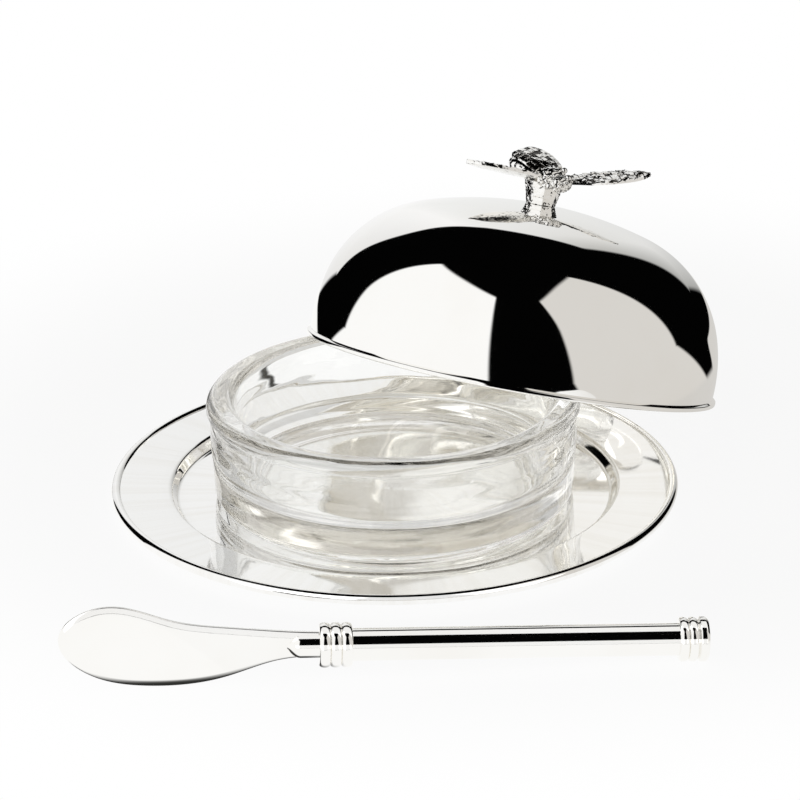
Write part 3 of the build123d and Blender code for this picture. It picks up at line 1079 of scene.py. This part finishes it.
        for number, (x, y, z, r) in enumerate(((7.2, 1.8, 1.2, 0.95), (7.2, -1.8, 1.2, 0.95),
                                               (4.4, 2.8, 1.8, 0.8), (5.6, -2.8, -0.4, 0.85))):
            bead = self.blob((x, y, z), (r, r, r), 1.0, 0.03, "bee_bead", number)
            piece(f"bee_bead_{number + 1}", bead, bee, cast, Body.LID, Slot.CAST_SILVER)
        for side, word in ((1, "right"), (-1, "left")):
            made = cells.run(self.wing(side),
                             {"Cell height": 0.16, "Height spread": 0.4, "Cell size": 0.84,
                              "Dark share": 0.22, "Seed": 11 + side, "Material": cast,
                              "Groove material": hollow})
            piece(f"wing_{word}", made, lid @ self.wing_place(side), cast, Body.LID, Slot.CAST_SILVER,
                  [f"bee_wing_{word}"])


@dataclass
class ButterKnife:
    """The butter knife, along its own +X from the tip, with its blade upright."""

    length: float = 140.0
    tip: Point2 = (-72.1, -101.6)
    yaw: float = 4.3
    rest_gap: float = 0.25
    blade_thickness: float = 1.7
    blade_top: float = 9.6
    blade_drop: float = 8.9
    blade_drop_x: float = 18.5
    bar_radius: float = 2.7
    bar_length: float = 4.0
    collar_x: float = 55.8
    ring_width: float = 2.36
    ring_radius: float = 4.85
    groove_radius: float = 4.1
    tube_radius: float = 3.55
    cap_length: float = 6.4

    def place(self) -> Matrix:
        """The knife's frame in the row frame: it stands on its blade's edge and on its end cap."""
        cap_x = self.length - self.cap_length / 2
        fall = math.asin((self.blade_drop - self.ring_radius) / (cap_x - self.blade_drop_x))
        height = self.rest_gap + self.ring_radius + cap_x * math.sin(fall)
        return move(*self.tip, height) @ turn("Z", self.yaw) @ turn("Y", math.degrees(fall))

    @staticmethod
    def curve(points: Sequence[Point2], start: Point2, end: Point2) -> np.ndarray:
        """A smooth curve through points with given directions at its ends.

        Args:
            points: The points.
            start: Direction at the first one.
            end: Direction at the last one.

        Returns:
            Rows of points close together.
        """
        p = np.array(points, float)
        h = np.linalg.norm(np.diff(p, axis=0), axis=1)
        t = np.concatenate([[0], np.cumsum(h)])
        n = len(p)
        m = np.zeros((n, n))
        b = np.zeros((n, 2))
        m[0, 0] = m[-1, -1] = 1.0
        b[0], b[-1] = np.array(start) / np.hypot(*start), np.array(end) / np.hypot(*end)
        for i in range(1, n - 1):
            m[i, i - 1:i + 2] = h[i], 2 * (h[i - 1] + h[i]), h[i - 1]
            b[i] = 3 * (h[i - 1] * (p[i + 1] - p[i]) / h[i] + h[i] * (p[i] - p[i - 1]) / h[i - 1])
        d = np.linalg.solve(m, b)
        rows = []
        for i in range(n - 1):
            s = np.linspace(0, 1, 60)[:, None]
            rows.append((2 * s ** 3 - 3 * s ** 2 + 1) * p[i] + (s ** 3 - 2 * s ** 2 + s) * h[i] * d[i]
                        + (3 * s ** 2 - 2 * s ** 3) * p[i + 1] + (s ** 3 - s ** 2) * h[i] * d[i + 1])
        return np.concatenate(rows)

    def blade(self) -> bpy.types.Mesh:
        """The blade, slightly crowned, with a narrow bevel round its edge."""
        upper = self.curve([(self.collar_x, 3.2), (36, 4.6), (24, 6.4), (8.6, self.blade_top), (0, 2.0)],
                           (-1, 0.02), (0, -1))[::-1]
        lower = self.curve([(0, 2.0), (5.2, -5.3), (self.blade_drop_x, -self.blade_drop), (36, -7.0),
                            (47, -3.3), (self.collar_x, -2.5)], (0, -1), (1, 0))
        end = self.collar_x + 0.4

        def place(u: float, v: float) -> tuple[float, float, float]:
            """Point of the blade's skin."""
            x = end * (1 - math.cos(min(1.0, u * 1.001) * math.pi / 2)) if u < 1 else end
            look = min(x, self.collar_x)
            top = float(np.interp(look, upper[:, 0], upper[:, 1]))
            low = float(np.interp(look, lower[:, 0], lower[:, 1]))
            middle, half = (top + low) / 2, max((top - low) / 2, 1e-3)
            if u in (0.0, 1.0):
                return x, 0.0, middle
            angle = v * math.tau
            edge = half * math.cos(angle)
            inward = half - abs(edge)
            bevel = min(1.0, inward / min(1.5, half * 0.6))
            thick = 0.5 * self.blade_thickness * (0.32 + 0.5 * bevel ** 0.7 + 0.18 * math.sin(angle) ** 2)
            tip = min(1.0, (x + 0.05) / 1.6) ** 0.5
            spine = math.copysign(min(1.0, abs(math.sin(angle)) * 9.0), math.sin(angle))
            return x, thick * tip * spine, middle + edge

        return smooth(shell(150, 96, place, "knife_spreader"), 50)

    def bar(self) -> bpy.types.Mesh:
        """The round bar that grows out of the blade into the collar."""
        neck = self.collar_x - self.bar_length
        run = self.bar_length
        section = [(0.0, neck - run)]
        section += [(self.bar_radius * math.sin(math.pi / 2 * k / 16) ** 1.3, neck - run + run * k / 16)
                    for k in range(1, 17)]
        section += [(self.bar_radius, self.collar_x + 0.5), (0.0, self.collar_x + 0.5)]
        mesh = smooth(turned(spread(section, 1.0), 72, Ends.POLES, "knife_neck"), 40)
        mesh.transform(turn("Y", 90))
        return mesh

    def ring(self, width: float, radius: float, inner: float) -> bpy.types.Mesh:
        """One half-round ring about X, from x = 0.

        Args:
            width: Its width.
            radius: Its outside radius.
            inner: Radius that it reaches in to.

        Returns:
            The mesh.
        """
        high = radius - self.groove_radius
        crown = [(self.groove_radius + high * math.sin(math.pi * k / 18) ** 0.75, width * (1 - math.cos(
            math.pi * k / 18)) / 2) for k in range(19)]
        mesh = turned([(inner, 0.0), *crown, (inner, width)], 96, Ends.LOOP, "knife_ring")
        mesh.transform(turn("Y", 90))
        return mesh

    def tube(self) -> bpy.types.Mesh:
        """The handle's tube."""
        start = self.collar_x + 3 * self.ring_width
        end = self.length - self.cap_length
        section = [(self.tube_radius - 0.5, start), (self.tube_radius, start), (self.tube_radius, end),
                   (self.tube_radius - 0.5, end)]
        mesh = smooth(turned(spread(section, 2.0), 144, Ends.LOOP, "knife_tube"), 40)
        mesh.transform(turn("Y", 90))
        return mesh

    def cap(self) -> bpy.types.Mesh:
        """The end ring with its flat end."""
        start = self.length - self.cap_length + 2 * self.ring_width * 0.86
        section = rounded([(0, start, 0), (self.groove_radius, start, 0.1),
                           (self.ring_radius + 0.05, start + 0.5, 0.4),
                           (self.ring_radius + 0.05, self.length - 0.6, 0.5),
                           (self.groove_radius + 0.3, self.length, 0.3), (0, self.length, 0)], 8)
        mesh = smooth(turned(spread(section, 1.5), 96, Ends.POLES, "knife_end_ring"), 40)
        mesh.transform(turn("Y", 90))
        return mesh

    def build(self, finish: bpy.types.Material, rings: RingRow) -> list[bpy.types.Object]:
        """Makes the knife.

        Args:
            finish: Its silver.
            rings: Recipe of a row of rings.

        Returns:
            Its pieces.
        """
        knife = self.place()
        put = (knife, finish, Body.KNIFE, Slot.SILVER)
        made_pieces = [piece("knife_spreader", self.blade(), *put, ["knife_blade"]),
                       piece("knife_neck", self.bar(), *put),
                       piece("knife_tube", self.tube(), *put, ["knife_handle"])]
        for name, count, width, x, node in (
                ("collar_rings", 3, self.ring_width, self.collar_x, "knife_collar"),
                ("cap_rings", 2, self.ring_width * 0.86, self.length - self.cap_length, "knife_end_cap")):
            made = rings.run(self.ring(width, self.ring_radius, 1.0),
                             {"Count": count, "Pitch": width, "Material": finish})
            smooth(made, 50)
            made.transform(move(x, 0, 0))
            made_pieces.append(piece(name, made, *put, [node]))
        made_pieces.append(piece("cap_end_ring", self.cap(), *put))
        return made_pieces


@dataclass
class Studio:
    """White studio with two bright panels, a screen behind, dark flags between them, and the camera."""

    focal_px: float = 3800.638
    distance: float = 899.46
    elevation: float = 22.3856
    roll: float = -0.8051
    target_x: float = 1.6287
    target_z: float = 24.3674
    frame_px: float = 800.0
    sensor: float = 36.0
    lid_x: float = 0.029
    lid_y: float = 0.039
    knife_x: float = -0.0721
    knife_y: float = -0.1016
    knife_yaw: float = 4.3
    card_strength: float = 0.93
    left_panel: Point2 = (-113.0, -16.0)
    right_panel: Point2 = (31.0, 103.0)
    back_screen: Point2 = (-33.0, 32.0)
    # Painted light and shade on the floor near the set, and a painted shadow strip under the knife; only
    # rays other than the camera's see them.
    painted_near_reach: Point2 = (0.080, 0.092)
    painted_light_left: Colour = (0.985, 0.985, 0.98)
    painted_shade_right: Colour = (0.66, 0.645, 0.62)
    knife_shade: Point2 = (-0.0022, 0.006)
    shade_tone: Colour = (0.03, 0.03, 0.028)
    black: Colour = (0.0008, 0.0008, 0.0008)
    left_tone: Colour = (1.0, 1.0, 0.995)
    right_tone: Colour = (0.70, 0.68, 0.65)
    glass_fill: float = 0.74

    def camera(self) -> None:
        """The photograph's camera."""
        e, roll = math.radians(self.elevation), math.radians(self.roll)
        right, up = Vector((1, 0, 0)), Vector((0, math.sin(e), math.cos(e)))
        back = Vector((0, -math.cos(e), math.sin(e)))
        right_2 = right * math.cos(roll) + up * math.sin(roll)
        up_2 = up * math.cos(roll) - right * math.sin(roll)
        spot = (Vector((self.target_x, 0, self.target_z)) + back * self.distance) * MM
        data = bpy.data.cameras.new("photo_camera")
        data.sensor_width = self.sensor
        data.lens = self.sensor * self.focal_px / self.frame_px
        data.clip_start, data.clip_end = 0.01, 20.0
        made = bpy.data.objects.new("photo_camera", data)
        made.matrix_world = Matrix((
            (right_2.x, up_2.x, back.x, spot.x), (right_2.y, up_2.y, back.y, spot.y),
            (right_2.z, up_2.z, back.z, spot.z), (0, 0, 0, 1)))
        bpy.context.scene.collection.objects.link(made)
        bpy.context.scene.camera = made

    def light_at(self, t: Tree, x: Value, y: Value, rise: Value | None) -> Value:
        """Brightness of the studio in a direction.

        Args:
            t: The tree to write in.
            x: The direction's part to the right.
            y: The direction's part to the back.
            rise: Its elevation in degrees, or None for along the floor, where the floor paints a copy of
                the studio.

        Returns:
            The colour.
        """
        front, behind = t.bearing(x, 0.0 - y), t.bearing(x, y)
        left = front.between(*self.left_panel, 1.2)
        right = front.between(*self.right_panel, 1.2)
        wall = behind.between(*self.back_screen, 1.5)
        if rise is not None:
            round_off = (behind * behind) ** 2 * (1 / 33.5 ** 4) + (rise * rise) ** 2 * (1 / 36.5 ** 4)
            left_half = (1 - behind.step(-2, 2)) * (1 - round_off.step(0.93, 1.07))
            right_half = behind.step(-2, 2) * (1 - (behind + 0.17 * rise).step(31, 34))
            right_half = right_half * (1 - rise.step(35, 37))
            left = left * (1 - (rise + 0.0024 * (front + 62) * (front + 62)).step(67.5, 70))
            right = right * (1 - (rise + 0.0035 * (front - 72) * (front - 72)).step(65, 67.5))
            wall = left_half + right_half
        screen = t.ramp((behind + 33) / 66, [
            (0.0, (0.84, 0.84, 0.84)), (0.40, (0.96, 0.96, 0.96)), (0.50, (0.88, 0.885, 0.88)),
            (0.72, (0.77, 0.77, 0.76)), (0.92, (0.50, 0.50, 0.49)), (1.0, (0.36, 0.36, 0.35))])
        colour = t.blend(wall, self.black, screen)
        colour = t.blend(left, colour, self.left_tone)
        return t.blend(right, colour, self.right_tone)

    def world(self) -> None:
        """White for the camera, and the studio's panels for everything else."""
        world = bpy.data.worlds.new("studio_light")
        bpy.context.scene.world = world
        world.use_nodes = True
        t = Tree(world.node_tree)
        x, y, z = t.parts(t.add("ShaderNodeTexCoord", out="Generated"))
        rise = t.add("ShaderNodeMath", {"operation": "ARCSINE"}, {0: z}) * (180 / math.pi)
        panels = self.light_at(t, x, y, rise)
        seen = t.add("ShaderNodeLightPath", out="Is Camera Ray")
        deep = t.add("ShaderNodeLightPath", out="Transmission Depth").step(0.4, 0.6)
        colour = t.blend(deep * self.glass_fill, panels, (0.95, 0.95, 0.945))
        colour = t.blend(seen, colour, (1.0, 1.0, 1.0))
        shader = t.add("ShaderNodeBackground", None, {"Color": colour, "Strength": 1.0})
        t.add_output("ShaderNodeOutputWorld", shader)

    def floor(self) -> None:
        """A pale table top: white to the camera, and to every other ray a glowing painted reflection of the
        studio, with the dark flags' feet at a distance from the set, painted light and shade near the set
        and a painted shadow under the knife.
        """
        material, t = new_material("table_top")
        x, y, z = t.parts(t.object_place())
        dx, dy = x - self.lid_x, y - self.lid_y
        far = (dx * dx + dy * dy) ** 0.5
        grain = t.noise(t.object_place(), 60.0, 3.0)
        front, behind = t.bearing(dx, 0.0 - dy), t.bearing(dx, dy)
        # Painted light and shade near the set: light to the left, grey shade to the right.
        painted_shade_side = front.step(15, 60) * (1 - front.step(150, 179))
        painted_near_tone = t.blend(painted_shade_side, self.painted_light_left, self.painted_shade_right)
        reach = far - 0.32 * front.between(-22, 36, 6) - 0.07 * behind.between(-62, 62, 6)
        reach = reach + 0.03 * front.between(-130, -60, 8)
        # Painted reflection: further out, the floor copies the studio's panels and dark flags.
        panels = t.blend(reach.step(*self.painted_near_reach), painted_near_tone, self.light_at(t, dx, dy, None))
        # Painted shadow: a dark strip on the floor under the knife's blade.
        yaw = math.radians(self.knife_yaw)
        across = (y - self.knife_y) * math.cos(yaw) - (x - self.knife_x) * math.sin(yaw)
        along = x.step(-0.075, -0.07) * (1 - x.step(-0.02, -0.01))
        panels = t.blend(across.between(*self.knife_shade, 0.0012) * along, panels, self.shade_tone)
        camera = t.add("ShaderNodeLightPath", out="Is Camera Ray")
        paint = t.blend(grain, (0.93, 0.93, 0.925), (0.95, 0.95, 0.945))
        matt = t.add("ShaderNodeBsdfDiffuse", None, {"Color": paint})
        white = t.add("ShaderNodeEmission", None, {"Color": (1, 1, 1, 1), "Strength": 1.0})
        # The floor glows with this painted light for every ray but the camera's, though it is no lamp.
        painted_floor_glow = t.add("ShaderNodeEmission", None, {"Color": panels, "Strength": 1.0})
        near = 1.0 - 0.09 * (1.0 - far.step(0.10, 0.2))
        seen = t.add("ShaderNodeMixShader", None, {0: near, 1: matt, 2: white})
        both = t.add("ShaderNodeMixShader", None, {0: camera, 1: painted_floor_glow, 2: seen})
        t.add_output("ShaderNodeOutputMaterial", both)
        size = 3.0
        mesh = bpy.data.meshes.new("table_top")
        mesh.from_pydata([(-size, -size, 0), (size, -size, 0), (size, size, 0), (-size, size, 0)], [],
                         [(0, 1, 2, 3)])
        mesh.materials.append(material)
        made = bpy.data.objects.new("table_top", mesh)
        bpy.context.scene.collection.objects.link(made)

    @staticmethod
    def card(name: str, size: Point2, spot: tuple[float, float, float], tilt: float, strength: float,
             seen_by: Sequence[bpy.types.Object]) -> None:
        """A white card that only some pieces mirror.

        Args:
            name: The card's name.
            size: Its width and depth in metres.
            spot: Its middle.
            tilt: Its turn about X in degrees; 0 faces down.
            strength: Its brightness, 1 for white.
            seen_by: The pieces.
        """
        group = bpy.data.collections.new(name + "_pieces")
        for made in seen_by:
            group.objects.link(made)
        lamp = bpy.data.lights.new(name, "AREA")
        lamp.shape, lamp.size, lamp.size_y = "RECTANGLE", *size
        lamp.energy = math.pi * size[0] * size[1] * strength
        made = bpy.data.objects.new(name, lamp)
        made.matrix_world = Matrix.Translation(spot) @ turn("X", tilt)
        made.visible_camera = False
        made.light_linking.receiver_collection = group
        bpy.context.scene.collection.objects.link(made)

    def cards(self, plate: bpy.types.Object, knife: Sequence[bpy.types.Object]) -> None:
        """Cards for the plate and for the knife, which was lit by itself.

        Args:
            plate: The plate.
            knife: The knife's pieces.
        """
        self.card("front_card", (1.4, 0.30), (0.0, -0.62, 0.10), 90.0, self.card_strength, knife)
        self.card("top_card", (1.0, 0.25), (0.0, 0.01, 0.30), 0.0, self.card_strength, knife)
        self.card("plate_card", (1.8, 0.8), (0.0, -0.45, 0.38), 52.0, 0.85, [plate])

    def build(self) -> None:
        """Sets up the camera, the light and the table, with enough bounces for thick glass."""
        cycles = bpy.context.scene.cycles
        cycles.max_bounces, cycles.glossy_bounces, cycles.transmission_bounces = 24, 16, 20
        self.camera()
        self.world()
        self.floor()
        bpy.context.scene.view_settings.view_transform = "Standard"


def dress_hidden(nodes: dict[str, bpy.types.Object]) -> None:
    """Gives the carried-over CAD pieces their finishes."""
    zinc, cement = ZincSteel("zinc_steel").make(), HandleCement("handle_cement").make()
    for name, material, slot in (("finial_washer", zinc, Slot.STEEL), ("finial_screw", zinc, Slot.STEEL),
                                 ("handle_filler", cement, Slot.FILLER)):
        made = nodes[name]
        made.data.materials.clear()
        made.data.materials.append(material)
        log.info("%s keeps its solid and wears %s", name, material.name)


def main() -> None:
    """Builds the whole set and its studio."""
    logging.basicConfig(level=logging.INFO, format="%(name)s %(message)s")
    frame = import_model()
    studio = Studio()
    studio.build()
    cells, rings = RaisedCells(), RingRow()
    plate = Plate().build(SpunSilver("plate_silver").make())
    GlassBowl().build(PressedGlass("clear_glass").make())
    DomeLid().build(PolishedSilver("dome_silver").make(),
                    CastSilver("post_silver", pit_scale=420.0, dark_share=0.05, depth=0.00012).make(),
                    CastSilver("bee_silver", pit_scale=480.0, dark_share=0.15, depth=0.00005).make(),
                    # Dark metal for the patina of the bee's cells and for the painted shadow ring at the
                    # post's foot.
                    CastSilver("bee_patina_and_shadow", bright=(0.035, 0.031, 0.027)).make(), cells)
    knife = ButterKnife().build(PolishedSilver("knife_silver", gloss=0.05).make(), rings)
    studio.cards(plate, knife)
    dress_hidden(frame["nodes"])


if __name__ == "__main__":
    main()
